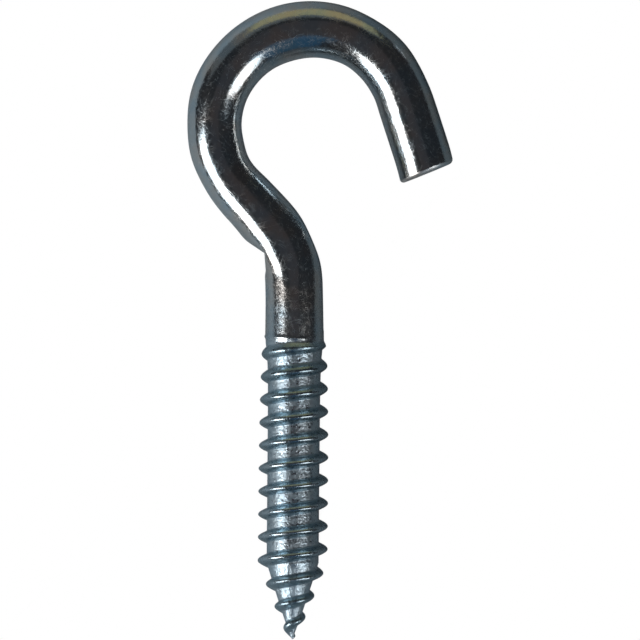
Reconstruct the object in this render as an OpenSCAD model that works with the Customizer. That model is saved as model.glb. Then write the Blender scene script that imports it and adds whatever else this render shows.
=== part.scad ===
// Open screw hook: one bent steel wire with a rolled wood thread and a gimlet point.
// It lies flat: the hook is in the XY plane, and the thread points along -Y.
// The origin is on the shank's axis, where the thread begins.

/* [Wire] */
// Diameter of the bent wire
wire_d = 5.8; // [4:0.1:7]
// How much thinner the wire is where it was stretched round a bend
bend_thinning = 0.08; // [0.04:0.01:0.2]
// How much thicker the shank is where it meets the thread
shank_swell = 0.2; // [0:0.05:0.6]
// Angle by which the cut end is out of square
end_skew = 4.4; // [0:0.1:15]
// Width of the broken edge round the cut end
end_chamfer = 0.35; // [0.1:0.05:1]

/* [Hook] */
// Straight shank between the thread and the neck
shank_len = 6.6; // [4:0.1:20]
// Bend radius of the neck, to the middle of the wire
neck_r = 7.1; // [5.5:0.1:12]
// Angle by which the neck leans back from the shank
neck_angle = 43.7; // [25:0.1:60]
// Straight wire between the neck and the loop
slant_len = 4.9; // [1:0.1:12]
// Radius of the open loop, to the middle of the wire
loop_r = 9.85; // [7:0.05:20]
// Angle through which the loop turns
loop_angle = 206; // [170:1:225]
// Straight wire from the loop to the cut end
end_len = 8.2; // [2:0.1:15]

/* [Bending marks] */
// Depth of the dent that the bending anvil left inside the neck
anvil_depth = 0.4; // [0.1:0.05:0.8]
// Angle between the dent's upper face and the slanted wire beside it
anvil_flare = 11; // [5:1:25]
// Depth to which the bending die flattened the outside of the neck
die_depth = 0.3; // [0.1:0.05:0.6]
// How much wider the die was curved than the outside of the neck
die_ease = 4.2; // [2:0.1:8]

/* [Thread] */
// Length from the start of the thread to the point
thread_len = 30.4; // [18:0.1:60]
// How far the core is rolled down below the side of the shank
core_sink = 0.32; // [0.2:0.01:0.8]
// Height of the full ridge above the core
ridge_h = 0.92; // [0.4:0.02:1.4]
// Width of the ridge at its foot
ridge_w = 1.35; // [0.8:0.05:1.7]
// Distance from ridge to ridge
pitch = 2.33; // [1.8:0.01:3.5]
// Length of the tapered gimlet point
point_len = 7.8; // [4:0.1:12]
// Angle by which the thread leans away from the line of the shank
thread_lean = 0.5; // [0:0.1:1.5]

/* [Hidden] */
$fn = 64;

shank_d = wire_d + shank_swell;
core_r = shank_d / 2 - core_sink;

// Straights reach this far into the slightly thinner bends, so that every joint is a clean one
lap = 0.2;
bend_d = wire_d - bend_thinning;

// The anvil's dent is a wedge with its corner two thirds of the way round the inside of the neck
neck_center = [-neck_r, shank_len];
dent_place = neck_angle * 2 / 3;
dent_corner = neck_center + (neck_r - wire_d / 2 + anvil_depth) * [cos(dent_place), sin(dent_place)];
dent_clear = 0.02;
dent_low = [-wire_d / 2 - dent_clear, shank_len];
dent_lean = neck_angle + anvil_flare;
dent_reach = 1.5 * wire_d;
dent_high = dent_corner + dent_reach * [-sin(dent_lean), cos(dent_lean)];

// The die's flat is a wide curve pressed into the outside of the neck, and ends just past the bend
neck_outside = neck_r + wire_d / 2;
die_r = neck_outside + die_ease;
die_overrun = 6;
die_half_angle = neck_angle / 2 + die_overrun;

// The thread's skin: every second column is set half a row along, so the facets follow the ridge
columns = 20;
rows_per_turn = columns / 2;
row = pitch / rows_per_turn;
crest_round = 0.3;
root_in_shank = 0.8;

// The ridge rises out of the far side of the shank, so its first crest there is this deep
first_crest = 0.6 * pitch;

// At its start the ridge is low and the core is still nearly as thick as the shank
run_in = 0.8;
start_lowness = 0.5;
start_growth = 4;
start_fullness = 0.6 * core_sink;
start_taper = 1.5;

// On the gimlet point the core is a slightly bulging cone and the ridge shrinks to a share of its height
point_bulge = 0.9;
point_share = 0.4;
first_row = -ceil(first_crest / row) + 1;
last_row = floor((thread_len - first_crest) / row) - 1;
ring_count = last_row - first_row + 2;

function clamp(v) = min(max(v, 0), 1);

// How far down the gimlet point a depth is, from 0 at its start to 1 at its tip
function down_point(depth) = clamp((depth - thread_len + point_len) / point_len);

// The core narrows over the first turns, runs straight, and then tapers to the point
function core_radius(depth) =
    core_r * pow(1 - down_point(depth), point_bulge)
    + start_fullness * exp(-max(depth, 0) / start_taper);

// Height of the ridge: it rises out of the shank, grows to full height and shrinks on the point
function ridge_height(depth) = ridge_h * clamp(depth / run_in)
    * (1 - start_lowness * exp(-max(depth, 0) / start_growth))
    * (1 - (1 - point_share) * down_point(depth));

// Distance along the axis from a place on the skin to the nearest crest of the helix
function from_crest(depth, angle) =
    let (turns = (depth - first_crest) / pitch + angle / 360)
    (turns - round(turns)) * pitch;

// A ridge with straight flanks and a rounded crest, 1 at its crest and 0 at its foot
function ridge_shape(offset) =
    let (u = min(abs(offset) / (ridge_w / 2), 1))
    (norm([1, crest_round]) - norm([u, crest_round])) / (norm([1, crest_round]) - crest_round);

function skin_radius(depth, angle) =
    core_radius(depth) + ridge_height(depth) * ridge_shape(from_crest(depth, angle));

// A point of the skin. The angle turns from the -X side over the +Z side to the +X side
function skin_point(depth, angle) =
    let (r = skin_radius(depth, angle))
    [-r * cos(angle), -depth, r * sin(angle)];

function skin_depth(ring, column) =
    ring == 0 ? -root_in_shank
    : first_crest + (first_row + ring - 1 - (column % 2) / 2) * row;

// Corners of the cell between two rings and two columns, wound for an outward face
function cell(ring, column) =
    let (a = ring * columns + column)
    let (b = ring * columns + (column + 1) % columns)
    let (c = b + columns)
    let (e = a + columns)
    column % 2 == 0 ? [[a, b, c], [a, c, e]] : [[a, b, e], [b, c, e]];

module along_y() {
    rotate([-90, 0, 0]) children();
}

// Carries on from the end of a bend that turns left, away from +X
module past_left_bend(r, angle) {
    translate([-r, 0, 0]) rotate([0, 0, angle]) translate([r, 0, 0]) children();
}

// Carries on from the end of a bend that turns right, towards +X
module past_right_bend(r, angle) {
    translate([r, 0, 0]) rotate([0, 0, -angle]) translate([-r, 0, 0]) children();
}

// A straight reaches a little way into the thinner bend at each end
module straight(length) {
    translate([0, -lap, 0]) along_y() cylinder(h = length + 2 * lap, d = wire_d);
}

module left_bend(r, angle) {
    translate([-r, 0, 0]) rotate_extrude(angle = angle) translate([r, 0]) circle(d = bend_d);
}

module right_bend(r, angle) {
    translate([r, 0, 0]) rotate([0, 0, 180 - angle])
        rotate_extrude(angle = angle) translate([r, 0]) circle(d = bend_d);
}

// The shank swells a little towards the thread
module shank() {
    along_y() cylinder(h = shank_len + lap, d1 = shank_d, d2 = wire_d);
}

// The last straight of the wire. A skewed cone cuts it off and breaks the edge of the cut
module cut_end() {
    reach = end_len + 2 * wire_d;
    face_r = wire_d / 2 - end_chamfer;
    intersection() {
        translate([0, -lap, 0]) along_y() cylinder(h = reach, d = wire_d);
        translate([0, end_len, 0]) rotate([0, 0, end_skew]) translate([0, -reach, 0])
            along_y() cylinder(h = reach, r1 = face_r + reach, r2 = face_r);
    }
}

module bent_wire() {
    shank();
    translate([0, shank_len, 0]) {
        left_bend(neck_r, neck_angle);
        past_left_bend(neck_r, neck_angle) {
            straight(slant_len);
            translate([0, slant_len, 0]) {
                right_bend(loop_r, loop_angle);
                past_right_bend(loop_r, loop_angle) cut_end();
            }
        }
    }
}

// The wedge of metal that the bending anvil pressed away inside the neck
module anvil_dent() {
    translate([0, 0, -wire_d]) linear_extrude(2 * wire_d)
        polygon([dent_corner, dent_high, [dent_high[0], dent_low[1]], dent_low]);
}

// The metal outside the wide curve of the bending die
module die_flat() {
    reach = 2 * neck_outside;
    translate([neck_center[0], neck_center[1], -wire_d]) rotate([0, 0, neck_angle / 2])
        linear_extrude(2 * wire_d) difference() {
            polygon([[0, 0],
                reach * [cos(die_half_angle), -sin(die_half_angle)],
                reach * [cos(die_half_angle), sin(die_half_angle)]]);
            translate([-die_depth - die_ease, 0]) circle(r = die_r);
        }
}

// Core, helical ridge and gimlet point in one closed skin that starts inside the shank
module thread() {
    rings = [for (i = [0:ring_count - 1], j = [0:columns - 1])
        skin_point(skin_depth(i, j), 360 * j / columns)];
    tip = ring_count * columns;
    skin = [for (i = [0:ring_count - 2], j = [0:columns - 1]) each cell(i, j)];
    cap = [[for (j = [0:columns - 1]) columns - 1 - j]];
    last = tip - columns;
    point = [for (j = [0:columns - 1]) [last + j, last + (j + 1) % columns, tip]];
    polyhedron(concat(rings, [[0, -thread_len, 0]]), concat(cap, skin, point));
}

module screw_hook() {
    color("lightsteelblue") {
        difference() {
            bent_wire();
            anvil_dent();
            die_flat();
        }
        rotate([0, 0, -thread_lean]) thread();
    }
}

screw_hook();
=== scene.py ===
import math

import bmesh
import bpy
import numpy as np
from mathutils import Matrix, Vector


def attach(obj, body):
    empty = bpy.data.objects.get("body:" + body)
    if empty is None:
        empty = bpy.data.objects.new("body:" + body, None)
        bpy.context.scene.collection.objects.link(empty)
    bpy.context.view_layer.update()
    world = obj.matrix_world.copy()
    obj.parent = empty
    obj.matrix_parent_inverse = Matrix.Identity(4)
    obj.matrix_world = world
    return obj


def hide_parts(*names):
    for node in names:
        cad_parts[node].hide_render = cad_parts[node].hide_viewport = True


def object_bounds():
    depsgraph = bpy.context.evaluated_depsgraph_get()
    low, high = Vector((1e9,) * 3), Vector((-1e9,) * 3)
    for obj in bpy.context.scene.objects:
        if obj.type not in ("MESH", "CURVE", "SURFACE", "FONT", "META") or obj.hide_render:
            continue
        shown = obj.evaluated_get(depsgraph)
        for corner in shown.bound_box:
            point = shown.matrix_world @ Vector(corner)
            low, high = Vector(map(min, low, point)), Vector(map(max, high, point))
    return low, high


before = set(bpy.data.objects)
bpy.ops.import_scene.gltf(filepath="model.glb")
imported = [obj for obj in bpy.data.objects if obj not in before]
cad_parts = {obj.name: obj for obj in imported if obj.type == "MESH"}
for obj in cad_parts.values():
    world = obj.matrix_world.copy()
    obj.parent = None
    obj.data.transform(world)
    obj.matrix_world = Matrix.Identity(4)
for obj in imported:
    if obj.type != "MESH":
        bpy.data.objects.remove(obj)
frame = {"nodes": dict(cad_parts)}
cadLow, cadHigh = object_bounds()
mm = 0.001
print("frame loaded:", ", ".join(frame["nodes"]))

# Millimetres and degrees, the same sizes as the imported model
wire = {
    "diameter": 5.8,
    "shankSwell": 0.2,
    "bendThinning": 0.08,
    "thinningEase": 2.0,  # length over which the wire thins into a bend
    "shankLength": 6.6,
    "neckRadius": 7.1,
    "neckAngle": 43.7,
    "slantLength": 4.9,
    "loopRadius": 9.85,
    "loopAngle": 206.0,
    "bendEase": 2.0,  # length over which the heading is averaged
    "endLength": 8.2,
    "endSkew": 4.4,
    "endRounding": 0.46,
    "columns": 96,
    "rowSpacing": 0.3,
    "rimRows": 9,
    "faceRows": 7,
}
# The anvil's dent inside the neck: its depth, the angle between its upper face and the slanted wire, how
# round its corners are, how it fades out down the shank, and a limit clear of the wire past its ends
anvil = {"depth": 0.46, "flare": 11.0, "softness": 0.12, "fade": 2.0, "fadeDepth": 0.4, "clear": -9.0}
# Metal that the anvil pushed out beside its dent, in full this far ("spread") from the wire's middle
anvilBulge = {"place": 9.6, "reach": 2.8, "width": 0.45, "spread": 1.2}
# The flat that the die pressed on the other side of the neck
dieFlat = {"place": 9.5, "reach": 2.2, "depth": 0.28, "clearance": 0.12, "softness": 0.12}
# Where the bending tools squeezed or swelled the wire: place along it, reach and change of half its width
toolMarks = (
    (13.2, 1.5, 0.06),
    (19.6, 2.0, -0.14),
    (24.4, 2.0, -0.09),
    (37.5, 3.0, 0.07),
    (45.0, 2.0, -0.08),
    (51.0, 1.8, -0.04),
)
# Where the wire strays sideways from straights and true arcs: place, reach and shift to the right
wireDrift = (
    (1.0, 9.0, 0.05),
    (13.0, 1.6, -0.06),
    (20.0, 2.5, -0.03),
    (27.5, 2.5, -0.07),
    (37.0, 3.5, 0.06),
    (45.0, 13.0, 0.07),
    (50.5, 1.5, 0.05),
    (61.0, 1.5, 0.13),
)
# The rolled thread. Depths run down from where it starts, and "ease" and "growth" are lengths over which a
# change dies away
thread = {
    "length": 30.4,
    "lean": 0.5,  # degrees from the line of the shank
    "coreSink": 0.35,
    "sinkEase": 1.7,
    "pitch": 2.33,
    "firstCrest": 0.6,  # in pitches
    "ridgeHeight": 0.91,
    "upperFlank": 0.66,
    "lowerFlank": 0.62,
    "footHollow": 1.15,
    "runIn": 0.6,
    "startLowness": 0.6,
    "startGrowth": 3.5,
    "pointLength": 7.8,
    "pointBulge": 0.9,
    "pointLowness": 0.6,
    "tipRound": 0.3,
    "lead": 0.9,  # how far the thread's skin reaches up the shank
    "rowsPerTurn": 36,
}
# The ridge's width as a share: wider on the first turns, and then less over a length from a place
ridgeWidth = {"first": 1.08, "loss": 0.12, "place": 6.0, "over": 8.0}
# Turns that are rolled a little out of step: place, length over which it happens, and shift in pitches
rollingSlips = ((22.0, 1.5, 0.09), (26.5, 1.5, -0.05))
# A low false start of the ridge above the first turn, with a groove under it. Its ends are angles in radians
falseStart = {
    "depth": -0.42,
    "climb": 0.3,
    "height": 0.08,
    "width": 0.14,
    "groove": 0.05,
    "grooveDrop": 0.42,
    "grooveWidth": 0.2,
    "startAngle": -1.2,
    "startFade": 0.8,
    "endAngle": 2.2,
    "endFade": 0.9,
}


def bendAngles(distance):
    # Heading: no turn on the shank, a left turn round the neck, then a right turn round the loop
    neckTurn = math.radians(wire["neckAngle"])
    loopTurn = math.radians(wire["loopAngle"])
    neckStart = wire["shankLength"]
    loopStart = neckStart + wire["neckRadius"] * neckTurn + wire["slantLength"]
    neck = np.clip((distance - neckStart) / wire["neckRadius"], 0, neckTurn)
    loop = np.clip((distance - loopStart) / wire["loopRadius"], 0, loopTurn)
    return neck - loop


def wireLength():
    # Length of the centre line: straights plus radius times angle for each bend
    neckArc = wire["neckRadius"] * math.radians(wire["neckAngle"])
    loopArc = wire["loopRadius"] * math.radians(wire["loopAngle"])
    return wire["shankLength"] + neckArc + wire["slantLength"] + loopArc + wire["endLength"]


def marksAt(distance, marks):
    # The sum of bell curves, one for each mark: its change times e to the minus squared distance over reach
    return sum(change * np.exp(-((distance - place) / reach) ** 2) for place, reach, change in marks)


def centreLine(distance):
    # Heading: its average over a short length, so that no bend starts abruptly. Position: the running sum of
    # the heading's direction, in small steps. Both are read off at each distance
    step = 0.01
    reach = int(wire["bendEase"] / step / 2)
    steps = np.arange(-reach, int(wireLength() / step) + reach + 1) * step
    ease = np.ones(2 * reach + 1) / (2 * reach + 1)
    heading = np.convolve(bendAngles(steps), ease, mode="same")
    heading[:reach] = bendAngles(steps[:reach])
    heading[-reach:] = bendAngles(steps[-reach:])
    x = np.cumsum(-np.sin(heading) * step)
    y = np.cumsum(np.cos(heading) * step)
    x, y = (line - np.interp(0, steps, line) for line in (x, y))
    return tuple(np.interp(distance, steps, line) for line in (x, y, heading))


def smoothStep(value):
    # 0 below 0, 1 above 1, and three squares less two cubes between
    value = np.clip(value, 0, 1)
    return value * value * (3 - 2 * value)


def softMax(a, b, softness):
    # Half of: the sum of two values, plus the root of their squared difference and the squared softness. That
    # is the larger value, with a rounded corner where they cross
    return (a + b + np.sqrt((a - b) ** 2 + softness ** 2)) / 2


def wireRadius(distance):
    # Half the diameter: thinner where the wire is bent, and swelling over the shank towards the thread
    straight = wire["diameter"] / 2
    length = wireLength()
    neckStart = wire["shankLength"]
    neckEnd = neckStart + wire["neckRadius"] * math.radians(wire["neckAngle"])
    loopStart = neckEnd + wire["slantLength"]
    loopEnd = length - wire["endLength"]
    ease = wire["thinningEase"]
    past = [smoothStep((distance - place) / ease + 0.5) for place in (neckStart, neckEnd, loopStart, loopEnd)]
    inBends = past[0] - past[1] + past[2] - past[3]
    swell = wire["shankSwell"] / 2 * np.clip(1 - distance / wire["shankLength"], 0, 1)
    return straight + swell - wire["bendThinning"] / 2 * inBends


def anvilLimit(x, y, acrossX, acrossY):
    # How far across the wire each flat face of the dent is, by crossing two lines: the nearer of the two. A
    # line that runs along a face is moved off it, so nothing is divided by 0
    place = math.radians(wire["neckAngle"] * 2 / 3)
    lean = math.radians(wire["neckAngle"] + anvil["flare"])
    insideRadius = wire["neckRadius"] - wire["diameter"] / 2 + anvil["depth"]
    cornerX = -wire["neckRadius"] + insideRadius * math.cos(place)
    cornerY = wire["shankLength"] + insideRadius * math.sin(place)
    lowX, lowY = -wire["diameter"] / 2, wire["shankLength"]
    limits = []
    for alongX, alongY in ((cornerX - lowX, cornerY - lowY), (-math.sin(lean), math.cos(lean))):
        gapX, gapY = cornerX - x, cornerY - y
        crossed = alongX * acrossY - alongY * acrossX
        limits.append((alongX * gapY - alongY * gapX) / np.where(abs(crossed) < 1e-6, 1e-6, crossed))
    return np.minimum(*limits)


def dieLimit(distance):
    # The wire's side, less a bell curve: the flat starts clear of the side and is deepest at its middle
    fromMiddle = (distance - dieFlat["place"]) / dieFlat["reach"]
    cut = (dieFlat["depth"] + dieFlat["clearance"]) * np.exp(-fromMiddle ** 2)
    return wireRadius(distance) + dieFlat["clearance"] - cut


def bentWire():
    # A round section carried along the centre line. The last rows turn over the rim and close on the end face
    length = wireLength()
    rim = wire["endRounding"]
    straightRows = np.arange(thread["lead"], length - rim, wire["rowSpacing"])
    turn = np.radians(np.linspace(0, 90, wire["rimRows"]))
    shrink = np.concatenate([np.zeros(len(straightRows)), rim * (1 - np.cos(turn))])
    distance = np.concatenate([straightRows, length - rim * (1 - np.sin(turn))])
    faceRows = np.linspace(1, 0, wire["faceRows"])[1:]
    angle = np.radians(np.arange(wire["columns"]) * 360 / wire["columns"] - 90)[None, :]

    x, y, heading = centreLine(distance)
    acrossX, acrossY = np.cos(heading), np.sin(heading)
    radius = wireRadius(distance) - shrink
    squeeze = 1 + marksAt(distance, toolMarks) / (wire["diameter"] / 2)
    bulge = anvilBulge["width"] * np.exp(-((distance - anvilBulge["place"]) / anvilBulge["reach"]) ** 2)
    side = -(radius * squeeze)[:, None] * np.cos(angle)  # towards the right of the heading
    side = side - bulge[:, None] * smoothStep(-side / anvilBulge["spread"])
    up = radius[:, None] * np.sin(angle)

    # The dent's faces count only near the neck, and elsewhere the limit lies outside the wire
    neckStart = wire["shankLength"]
    neckEnd = neckStart + wire["neckRadius"] * math.radians(wire["neckAngle"])
    nearNeck = (distance > neckStart - anvil["fade"] / 2) & (distance < neckEnd + 2 * anvil["fade"])
    inner = np.where(nearNeck, anvilLimit(x, y, acrossX, acrossY), anvil["clear"])
    inner = inner - anvil["fadeDepth"] * smoothStep((neckStart - distance) / anvil["fade"] + 0.5)
    side = softMax(side, inner[:, None], anvil["softness"])
    side = -softMax(-side, -dieLimit(distance)[:, None], dieFlat["softness"])
    side = side + marksAt(distance, wireDrift)[:, None]

    # The end face leans, so its rows slide along the wire by their place across it
    skew = smoothStep((distance - length + wire["endLength"] / 2) / (wire["endLength"] / 2 - rim))
    slide = side * (skew * math.tan(math.radians(wire["endSkew"])))[:, None]
    grid = np.stack([
        x[:, None] + acrossX[:, None] * side - acrossY[:, None] * slide,
        y[:, None] + acrossY[:, None] * side + acrossX[:, None] * slide,
        up,
    ], axis=-1)
    tip = grid[-1].mean(axis=0)
    face = tip + (grid[-1] - tip)[None] * faceRows[:, None, None]
    along = np.concatenate([distance, length + (1 - faceRows) * wire["diameter"] / 2])
    return np.concatenate([grid, face]), along


def ridgeShape(offset, stretch):
    # 1 at the crest and 0 at the foot: one less the square of the distance from the crest, as a share of the
    # flank's width. A hollow at the foot comes from raising it to a power above 1
    flank = np.where(offset < 0, thread["upperFlank"], thread["lowerFlank"]) * stretch
    return np.clip(1 - (offset / flank) ** 2, 0, 1) ** thread["footHollow"]


def threadRadius(depth, angle):
    # Core radius plus the helical ridge. Both shrink on the gimlet point, and the ridge grows from the start
    down = np.clip((depth - thread["length"] + thread["pointLength"]) / thread["pointLength"], 0, 1)
    inThread = np.maximum(depth, 0)
    full = wire["diameter"] / 2 + wire["shankSwell"] / 2
    sunk = thread["coreSink"] * (1 - np.exp(-inThread / thread["sinkEase"]))
    tipRound = np.sqrt(np.clip((thread["length"] - depth) / thread["tipRound"], 0, 1))
    core = (full - sunk) * (1 - down) ** thread["pointBulge"]
    grown = np.clip(depth / thread["runIn"], 0, 1)
    grown = grown * (1 - thread["startLowness"] * np.exp(-inThread / thread["startGrowth"]))
    grown = grown * (1 - thread["pointLowness"] * down)
    slip = sum(shift * smoothStep((depth - place) / over) for place, over, shift in rollingSlips)
    turns = depth / thread["pitch"] - thread["firstCrest"] - slip + angle / (2 * math.pi)
    offset = (turns - np.round(turns)) * thread["pitch"]
    narrowed = smoothStep((depth - ridgeWidth["place"]) / ridgeWidth["over"])
    shape = ridgeShape(offset, ridgeWidth["first"] - ridgeWidth["loss"] * narrowed)
    return (core + thread["ridgeHeight"] * grown * shape) * tipRound, shape * grown


def falseRidge(depth, angle):
    # A bell curve across the ridge less another across the groove, both faded out at each end round the wire
    across = depth - falseStart["depth"] - falseStart["climb"] * angle / math.pi
    started = smoothStep((angle - falseStart["startAngle"]) / falseStart["startFade"])
    unfinished = smoothStep((falseStart["endAngle"] - angle) / falseStart["endFade"])
    fromGroove = (across - falseStart["grooveDrop"]) / falseStart["grooveWidth"]
    ridge = falseStart["height"] * np.exp(-(across / falseStart["width"]) ** 2)
    groove = falseStart["groove"] * np.exp(-fromGroove ** 2)
    return started * unfinished * (ridge - groove)


def rolledThread():
    # Rows that follow the helix: each row drops by one turn's rows in a full circle. They begin a turn early.
    # Rows that would start above the thread are held at its first ring, and rows past the point at its tip
    rows = thread["rowsPerTurn"]
    start, stop = -thread["lead"], thread["length"]
    rowCount = int(math.ceil((stop - start) / thread["pitch"] * rows)) + 2 * rows + 1
    turn = np.arange(wire["columns"])[None, :] / wire["columns"]
    row = np.arange(rowCount)[:, None] - rows
    depth = np.clip(start + (row / rows - turn) * thread["pitch"], start, stop)
    angle = np.radians(turn * 360 - 90) + 0 * depth
    radius, crest = threadRadius(depth, angle)
    shankRadius = wireRadius(-depth)
    radius = np.where(depth <= 0, shankRadius, radius) + falseRidge(depth, angle)
    lean = np.where(depth > 0, math.radians(thread["lean"]), 0)
    x, y = -radius * np.cos(angle), -depth
    shift = marksAt(0.0, wireDrift)
    grid = np.stack([
        x * np.cos(lean) + y * np.sin(lean) + shift,
        y * np.cos(lean) - x * np.sin(lean),
        radius * np.sin(angle),
    ], axis=-1)
    return grid, depth, crest


def gridFaces(rowCount, rowDrop):
    # Four corners of every cell. Past the last column a cell joins column 0, rowDrop rows higher
    columns = wire["columns"]
    row, column = np.meshgrid(np.arange(rowCount - 1), np.arange(columns), indexing="ij")
    wraps = column == columns - 1
    nextColumn = np.where(wraps, 0, column + 1)
    corners = []
    for r, c, wrapped in ((row, column, False), (row, nextColumn, wraps),
                          (row + 1, nextColumn, wraps), (row + 1, column, False)):
        corners.append(np.where(wrapped, np.maximum(r - rowDrop, 0), r) * columns + c)
    return np.stack(corners, axis=-1).reshape(-1, 4), wraps.ravel()


# Stretches with a finish of their own, as masks that grow from 0 to 1 on the way down to the point: the place
# along the wire at which each starts, and the length over which it grows
finishZones = {
    "rolled": (0.6, 1.2),
    "pitted": (7.5, 6.0),
    "beaten": (thread["pointLength"] - thread["length"] + 1, 3.0),
}
# The cut end's mask grows the other way, from this far before the end
cutZone = {"before": 0.45, "over": 0.25}
mergeDistance = 1e-8  # metres


def buildHook(material):
    # The wire and the thread share one ring of points, so they merge into a single closed skin
    columns = wire["columns"]
    wireGrid, wireAlong = bentWire()
    threadGrid, threadDepth, crest = rolledThread()
    wireGrid[0] = threadGrid[0]
    wireFaces, wireWraps = gridFaces(len(wireGrid), 0)
    threadFaces, threadWraps = gridFaces(len(threadGrid), thread["rowsPerTurn"])
    wirePoints = wireGrid.reshape(-1, 3)
    points = np.concatenate([wirePoints, threadGrid.reshape(-1, 3)]) * mm
    faces = np.concatenate([wireFaces, threadFaces + len(wirePoints)])
    along = np.concatenate([np.repeat(wireAlong, columns), -threadDepth.ravel()])
    around = np.tile(np.arange(columns), len(wireGrid) + len(threadGrid)) / columns
    crestMark = np.concatenate([np.zeros(len(wirePoints)), crest.ravel()])

    mesh = bpy.data.meshes.new("screwHook")
    mesh.from_pydata(points.tolist(), [], faces.tolist())
    mesh.polygons.foreach_set("use_smooth", np.ones(len(faces), bool))
    # UVs in millimetres: round the wire, then along it. The last column closes at a full turn
    wraps = np.concatenate([wireWraps, threadWraps])
    turnAt = around[faces] + np.where(wraps[:, None], [[0, 1, 1, 0]], 0)
    uv = np.stack([turnAt * math.pi * wire["diameter"], along[faces]], axis=-1)
    mesh.uv_layers.new(name="alongWire").data.foreach_set("uv", uv.ravel())
    masks = {name: smoothStep((place - along) / over) for name, (place, over) in finishZones.items()}
    masks["cut"] = smoothStep((along - wireLength() + cutZone["before"]) / cutZone["over"])
    masks["crest"] = crestMark
    for name, mask in masks.items():
        mesh.attributes.new(name, "FLOAT", "POINT").data.foreach_set("value", mask)

    skin = bmesh.new()
    skin.from_mesh(mesh)
    bmesh.ops.remove_doubles(skin, verts=skin.verts, dist=mergeDistance)
    bmesh.ops.dissolve_degenerate(skin, edges=skin.edges, dist=mergeDistance)
    bmesh.ops.recalc_face_normals(skin, faces=skin.faces)
    skin.to_mesh(mesh)
    triangles = sum(len(face.verts) - 2 for face in skin.faces)
    openEdges = sum(len(edge.link_faces) != 2 for edge in skin.edges)
    volume = skin.calc_volume(signed=True) / mm ** 3  # a skin that is inside out has a minus sign
    print(f"hook skin: {triangles} triangles, {openEdges} open edges, {volume:.1f} cubic millimetres")
    skin.free()
    mesh.materials.append(material)
    hook = bpy.data.objects.new("screwHook", mesh)
    bpy.context.scene.collection.objects.link(hook)
    return hook


zinc = {
    "colour": (0.65, 0.70, 0.72, 1),
    "blueTint": (0.54, 0.65, 0.72, 1),
    "warmTint": (0.70, 0.67, 0.64, 1),
    "tintSteps": (0.38, 0.50, 0.64),  # from blue through plain to warm
    # The rolled thread's tint: partly the plating's own blue, partly a painted blue reflection
    "rolledBlueAndReflection": (0.54, 0.68, 0.77, 1),
    "rolledShare": 0.7,
    # Painted shade: the ridges' flanks are painted darker and teal
    "flankPaintedShade": (0.30, 0.42, 0.48, 1),
    "flankShadeGain": 3.2,
    "flankShadeShare": 0.75,
}
# Scale, detail and roughness of each noise. "lines" run along the wire, the others fill space in millimetres
zincNoises = {
    "grain": (4.0, 2.0, 0.5),
    "waves": (0.6, 1.0, 0.5),
    "lines": (1.0, 2.0, 0.5),
    "pits": (3.6, 3.0, 0.65),
    "hammering": (3.4, 2.0, 0.55),
    "dents": (1.6, 2.0, 0.5),
    "dulling": (2.0, 2.0, 0.6),
    "patches": (0.33, 3.0, 0.5),
}
lineStretch = (5, 0.5, 1)
# Height of each pattern, in millimetres
zincHeights = {
    "grain": 0.003,
    "waves": 0.022,
    "scratches": 0.0026,
    "lines": 0.004,
    "pits": 0.016,
    "hammering": 0.068,
    "dents": 0.09,
}
# What each pattern or mask adds to the plain roughness
zincRoughness = {
    "plain": 0.10,
    "grain": 0.12,
    "scratches": 0.12,
    "cut": 0.34,
    "pitted": 0.04,
    "beaten": 0.06,
    "roots": 0.04,
    "dullRoots": 0.15,
    "dullFrom": 0.36,
    "dullTo": 0.62,
}
# Straight broken scratches: their directions in degrees, their width, how far each is drawn out, and the
# wider noise that leaves gaps in them
hairlines = {
    "directions": (15, 70, 125, 165),
    "width": 0.05,
    "stretch": (1.9, 0.4, 1.9),
    "gapScale": 1.3,
    "gapLevel": 0.47,
    "gapGain": 8.0,
}


def addNode(tree, kind, **values):
    # Each value sets the node's property of that name, or else its socket
    node = tree.nodes.new(kind)
    for name, value in values.items():
        if hasattr(node, name):
            setattr(node, name, value)
        else:
            node.inputs[name].default_value = value
    return node


def calculate(tree, operation, *values):
    # A Math node. Each value is a number or another node's output
    node = addNode(tree, "ShaderNodeMath", operation=operation)
    for socket, value in zip(node.inputs, values):
        if isinstance(value, (int, float)):
            socket.default_value = value
        else:
            tree.links.new(value, socket)
    return node.outputs[0]


def mixColour(tree, amount, first, second):
    # The second colour laid over the first by the amount
    mix = addNode(tree, "ShaderNodeMix", data_type="RGBA")
    amountIn, firstIn, secondIn = (mix.inputs[i] for i in (0, 6, 7))
    tree.links.new(amount, amountIn)
    tree.links.new(first, firstIn)
    secondIn.default_value = second
    return mix.outputs[2]


def noiseFrom(tree, vector, scale, detail, roughness=0.5):
    node = addNode(tree, "ShaderNodeTexNoise", Scale=scale, Detail=detail, Roughness=roughness)
    tree.links.new(vector, node.inputs["Vector"])
    return node.outputs["Fac"]


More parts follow.
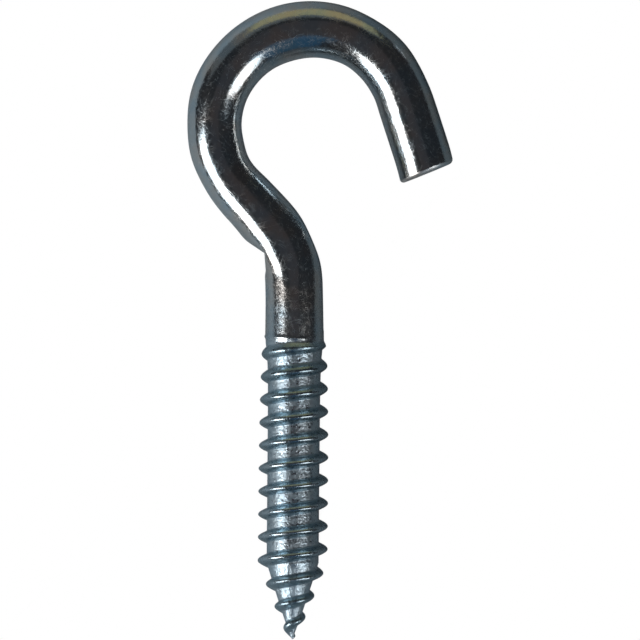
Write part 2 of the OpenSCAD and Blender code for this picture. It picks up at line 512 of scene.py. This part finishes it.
def hairlineGroup():
    # Fine broken scratches: where a noise, drawn out along one direction, is nearer its middle value than the
    # width. A second, wider noise leaves gaps in them
    group = bpy.data.node_groups.new("hairlines", "ShaderNodeTree")
    group.interface.new_socket("Vector", in_out="INPUT", socket_type="NodeSocketVector")
    group.interface.new_socket("Direction", in_out="INPUT", socket_type="NodeSocketFloat")
    group.interface.new_socket("Width", in_out="INPUT", socket_type="NodeSocketFloat")
    group.interface.new_socket("Mask", in_out="OUTPUT", socket_type="NodeSocketFloat")
    given = group.nodes.new("NodeGroupInput")
    result = group.nodes.new("NodeGroupOutput")
    turned = addNode(group, "ShaderNodeVectorRotate", rotation_type="Z_AXIS")
    drawn = addNode(group, "ShaderNodeMapping", Scale=hairlines["stretch"])
    group.links.new(given.outputs["Vector"], turned.inputs["Vector"])
    group.links.new(given.outputs["Direction"], turned.inputs["Angle"])
    group.links.new(turned.outputs["Vector"], drawn.inputs["Vector"])
    field = noiseFrom(group, drawn.outputs["Vector"], 1.0, 1.0)
    away = calculate(group, "ABSOLUTE", calculate(group, "SUBTRACT", field, 0.5))
    line = calculate(group, "SUBTRACT", 1.0, calculate(group, "DIVIDE", away, given.outputs["Width"]))
    gaps = noiseFrom(group, turned.outputs["Vector"], hairlines["gapScale"], 1.0)
    gaps = calculate(group, "SUBTRACT", gaps, hairlines["gapLevel"])
    gaps = calculate(group, "MULTIPLY", gaps, hairlines["gapGain"])
    gaps.node.use_clamp = True
    line = calculate(group, "MULTIPLY", calculate(group, "MAXIMUM", line, 0.0), gaps)
    group.links.new(line, result.inputs["Mask"])
    return group


def scratchesFrom(tree, vector):
    # The strongest of the scratches in all directions
    group = hairlineGroup()
    scratches = 0.0
    for direction in hairlines["directions"]:
        node = addNode(tree, "ShaderNodeGroup", node_tree=group)
        node.inputs["Direction"].default_value = math.radians(direction)
        node.inputs["Width"].default_value = hairlines["width"]
        tree.links.new(vector, node.inputs["Vector"])
        scratches = calculate(tree, "MAXIMUM", scratches, node.outputs["Mask"])
    return scratches


def zincPatterns(tree):
    # Every noise and mask of the finish, by name. Slopes, the ridge's flanks, are the crest's mask times one
    # less itself. Roots are the rolled thread's mask times one less the crest's
    place = tree.nodes.new("ShaderNodeTexCoord")
    inMillimetres = addNode(tree, "ShaderNodeMapping", Scale=(1 / mm, 1 / mm, 1 / mm))
    tree.links.new(place.outputs["Object"], inMillimetres.inputs["Vector"])
    spot = inMillimetres.outputs["Vector"]
    uv = addNode(tree, "ShaderNodeUVMap", uv_map="alongWire")
    stretched = addNode(tree, "ShaderNodeMapping", Scale=lineStretch)
    tree.links.new(uv.outputs["UV"], stretched.inputs["Vector"])

    found = {}
    for name, settings in zincNoises.items():
        found[name] = noiseFrom(tree, stretched.outputs["Vector"] if name == "lines" else spot, *settings)
    for name in ("crest", "cut", *finishZones):
        found[name] = addNode(tree, "ShaderNodeAttribute", attribute_name=name).outputs["Fac"]
    found["scratches"] = scratchesFrom(tree, spot)
    flat = calculate(tree, "SUBTRACT", 1.0, found["crest"])
    found["slopes"] = calculate(tree, "MULTIPLY", found["crest"], flat)
    found["roots"] = calculate(tree, "MULTIPLY", found["rolled"], flat)
    return found


def zincHeight(tree, found):
    # The sum of the patterns, each times its height. Pits, hammering and dents keep to their own stretches
    keptTo = {"pits": "pitted", "hammering": "roots", "dents": "beaten"}
    height = 0.0
    for name, share in zincHeights.items():
        pattern = found[name]
        if name in keptTo:
            pattern = calculate(tree, "MULTIPLY", pattern, found[keptTo[name]])
        height = calculate(tree, "MULTIPLY_ADD", pattern, share, height)
    return height


def zincRough(tree, found):
    # The plain roughness plus each pattern times its share. The roots are rougher again where a noise is high
    limits = {"From Min": zincRoughness["dullFrom"], "From Max": zincRoughness["dullTo"]}
    dull = addNode(tree, "ShaderNodeMapRange", **limits)
    tree.links.new(found["dulling"], dull.inputs["Value"])
    rough = zincRoughness["plain"]
    for name in ("grain", "scratches", "cut", "pitted", "beaten"):
        rough = calculate(tree, "MULTIPLY_ADD", found[name], zincRoughness[name], rough)
    dullShare = calculate(tree, "MULTIPLY_ADD", dull.outputs["Result"], zincRoughness["dullRoots"],
                          zincRoughness["roots"])
    return calculate(tree, "MULTIPLY_ADD", found["roots"], dullShare, rough)


def zincColour(tree, found):
    # Large patches from blue to warm, then the rolled thread's tint, partly the plating's blue and partly a
    # painted blue reflection, then the painted shade that darkens its flanks
    tint = tree.nodes.new("ShaderNodeValToRGB")
    ends, middle = tint.color_ramp.elements, tint.color_ramp.elements.new(zinc["tintSteps"][1])
    ends[0].position, ends[2].position = zinc["tintSteps"][0], zinc["tintSteps"][2]
    ends[0].color, middle.color, ends[2].color = zinc["blueTint"], zinc["colour"], zinc["warmTint"]
    tree.links.new(found["patches"], tint.inputs["Fac"])
    onThread = calculate(tree, "MULTIPLY", found["rolled"], zinc["rolledShare"])
    # Painted shade on the ridges' flanks
    shadeOnFlanks = calculate(tree, "MULTIPLY", found["slopes"], zinc["flankShadeGain"])
    shadeOnFlanks = calculate(tree, "MINIMUM", shadeOnFlanks, zinc["flankShadeShare"])
    colour = mixColour(tree, onThread, tint.outputs["Color"], zinc["rolledBlueAndReflection"])
    return mixColour(tree, shadeOnFlanks, colour, zinc["flankPaintedShade"])


def zincMaterial():
    # Bright plating. Its bump, roughness and colour come from the same patterns
    material = bpy.data.materials.new("zincPlate")
    material.use_nodes = True
    tree = material.node_tree
    shader = tree.nodes["Principled BSDF"]
    shader.inputs["Metallic"].default_value = 1
    found = zincPatterns(tree)
    bump = addNode(tree, "ShaderNodeBump", Strength=1.0, Distance=mm)
    tree.links.new(zincHeight(tree, found), bump.inputs["Height"])
    tree.links.new(bump.outputs["Normal"], shader.inputs["Normal"])
    tree.links.new(zincRough(tree, found), shader.inputs["Roughness"])
    tree.links.new(zincColour(tree, found), shader.inputs["Base Color"])
    print("zinc ready")
    return material


hook = buildHook(zincMaterial())
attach(hook, "root")
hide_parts("screw_hook")

# Sizes in metres. The floor's tones and the surround are what the metal reflects
studio = {
    "cameraHeight": 0.65,
    "viewMargin": 1.0025,
    "sensor": 36,
    "clip": (0.01, 20),
    "lightDistance": 1.6,
    "narrowest": 0.5,  # least share to which a light's span across shrinks as it climbs
    "surround": (0.018, 0.019, 0.0215, 1),
    "floorSize": 6.0,
    # Painted light: the floor seen in reflections is paler on the left and darker on the right
    "floorLitLeft": (0.50, 0.56, 0.60, 1),
    "floorShadedRight": (0.20, 0.235, 0.255, 1),
    "floorFade": 0.016,  # the floor's tone changes this far to each side
    "shadow": (0.25, 0.26, 0.27, 1),
    "shadowReach": 0.004,
    "shadowRays": 8,
    "shadowSteps": (0.1, 0.36),  # share of open sky in full shadow, and where the shadow ends
    "white": (1, 1, 1, 1),
}
# For each light: the azimuth and polar angle it comes from, the angles it spans across and down, its
# brightness and its tint
softboxes = {
    "mainBox": (207.5, 58, 45, 32, 4.8, (1, 1, 1)),
    "backBox": (325, 53, 30, 36, 2.5, (1, 1, 1)),
    "greyCard": (103, 72, 94, 46, 0.085, (0.9, 1, 1.05)),
    "strawCard": (89, 75, 64, 30, 0.17, (1.2, 1, 0.3)),
    "blueCard": (284, 50, 44, 50, 0.053, (0.08, 0.8, 1.6)),
    "lowCard": (270, 84, 110, 14, 0.05, (0.7, 1, 1.2)),
    "ceiling": (90, 1, 70, 70, 0.021, (1.12, 0.92, 0.94)),
    "farStrip": (41, 88, 10, 2.5, 0.9, (0.85, 1, 1.1)),
}


def setUpCamera():
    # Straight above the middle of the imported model. The focal length is the sensor's width times the height,
    # over the longest side and its margin
    centre = (cadLow + cadHigh) / 2
    longSide = max(cadHigh[i] - cadLow[i] for i in range(3))
    data = bpy.data.cameras.new("camera")
    data.sensor_width = studio["sensor"]
    data.lens = studio["sensor"] * studio["cameraHeight"] / (longSide * studio["viewMargin"])
    data.clip_start, data.clip_end = studio["clip"]
    camera = bpy.data.objects.new("camera", data)
    camera.location = (centre[0], centre[1], studio["cameraHeight"])
    bpy.context.scene.collection.objects.link(camera)
    bpy.context.scene.camera = camera


def mixForCamera(tree, outputKind, reflected, seen):
    # What the camera sees itself, and what every other ray finds
    rays = tree.nodes.new("ShaderNodeLightPath")
    mix = tree.nodes.new("ShaderNodeMixShader")
    output = tree.nodes.new(outputKind)
    tree.links.new(rays.outputs["Is Camera Ray"], mix.inputs["Fac"])
    tree.links.new(reflected, mix.inputs[1])
    tree.links.new(seen, mix.inputs[2])
    tree.links.new(mix.outputs["Shader"], output.inputs["Surface"])


def setUpFloor():
    # The hook rests on its ridges and on the back of the loop, so the floor slopes a little under it: the
    # difference in height over the distance between the two
    ridge = wire["diameter"] / 2 + wire["shankSwell"] / 2 - thread["coreSink"] + thread["ridgeHeight"]
    ridgeY = -(thread["length"] - thread["pointLength"]) * mm
    loopY = cadHigh[1] - wire["diameter"] / 2 * mm
    slope = (ridge - wire["diameter"] / 2) * mm / (loopY - ridgeY)
    height = -ridge * mm - slope * ridgeY
    half = studio["floorSize"] / 2
    square = ((-half, -half), (half, -half), (half, half), (-half, half))
    corners = [(x, y, height + slope * y) for x, y in square]
    mesh = bpy.data.meshes.new("floor")
    mesh.from_pydata(corners, [], [(0, 1, 2, 3)])
    floor = bpy.data.objects.new("floor", mesh)
    bpy.context.scene.collection.objects.link(floor)

    material = bpy.data.materials.new("paleFloor")
    material.use_nodes = True
    tree = material.node_tree
    tree.nodes.clear()
    # A thin shadow right under the metal, where nearly all of the sky is hidden
    sky = addNode(tree, "ShaderNodeAmbientOcclusion", samples=studio["shadowRays"],
                  Distance=studio["shadowReach"])
    shade = tree.nodes.new("ShaderNodeValToRGB")
    for step, place, colour in zip(shade.color_ramp.elements, studio["shadowSteps"],
                                   (studio["shadow"], studio["white"])):
        step.position, step.color = place, colour
    seen = tree.nodes.new("ShaderNodeEmission")
    tree.links.new(sky.outputs["AO"], shade.inputs["Fac"])
    tree.links.new(shade.outputs["Color"], seen.inputs["Color"])
    # Painted light for reflections: the floor is paler to the left, as if lit from there, and darker to the
    # right, as if in shade
    place = tree.nodes.new("ShaderNodeTexCoord")
    across = tree.nodes.new("ShaderNodeSeparateXYZ")
    limits = {"From Min": -studio["floorFade"], "From Max": studio["floorFade"]}
    fade = addNode(tree, "ShaderNodeMapRange", **limits)
    tone = tree.nodes.new("ShaderNodeValToRGB")
    for step, colour in zip(tone.color_ramp.elements, (studio["floorLitLeft"], studio["floorShadedRight"])):
        step.color = colour
    grey = tree.nodes.new("ShaderNodeBsdfDiffuse")
    tree.links.new(place.outputs["Object"], across.inputs["Vector"])
    tree.links.new(across.outputs["X"], fade.inputs["Value"])
    tree.links.new(fade.outputs["Result"], tone.inputs["Fac"])
    tree.links.new(tone.outputs["Color"], grey.inputs["Color"])
    mixForCamera(tree, "ShaderNodeOutputMaterial", grey.outputs["BSDF"], seen.outputs["Emission"])
    mesh.materials.append(material)


def setUpSurround():
    # Plain white to the camera, and dark in reflections
    world = bpy.data.worlds.new("surround")
    bpy.context.scene.world = world
    world.use_nodes = True
    tree = world.node_tree
    tree.nodes.clear()
    dark = addNode(tree, "ShaderNodeBackground", Color=studio["surround"], Strength=1.0)
    pale = addNode(tree, "ShaderNodeBackground", Color=studio["white"], Strength=1.0)
    mixForCamera(tree, "ShaderNodeOutputWorld", dark.outputs["Background"], pale.outputs["Background"])


def addSoftbox(name, azimuth, polar, across, tall, bright, tint):
    # An area light on a sphere round the hook, turned to face it. Its sides follow from the tangent of half
    # the angle that each spans, and its watts are its brightness times pi times its area
    azimuth, polar, across, tall = (math.radians(angle) for angle in (azimuth, polar, across, tall))
    distance = studio["lightDistance"]
    narrowed = across * max(math.sin(polar), studio["narrowest"])
    data = bpy.data.lights.new(name, "AREA")
    data.shape = "RECTANGLE"
    data.size = 2 * distance * math.tan(narrowed / 2)
    data.size_y = 2 * distance * math.tan(tall / 2)
    data.color = tint
    data.energy = bright * math.pi * data.size * data.size_y
    light = bpy.data.objects.new(name, data)
    light.location = (distance * math.sin(polar) * math.cos(azimuth),
                      distance * math.sin(polar) * math.sin(azimuth),
                      distance * math.cos(polar))
    light.rotation_euler = (-polar, 0, azimuth - math.pi / 2)
    light.visible_camera = False
    bpy.context.scene.collection.objects.link(light)


setUpCamera()
setUpFloor()
setUpSurround()
for name, box in softboxes.items():
    addSoftbox(name, *box)
bpy.context.scene.view_settings.view_transform = "Standard"
print("studio ready")
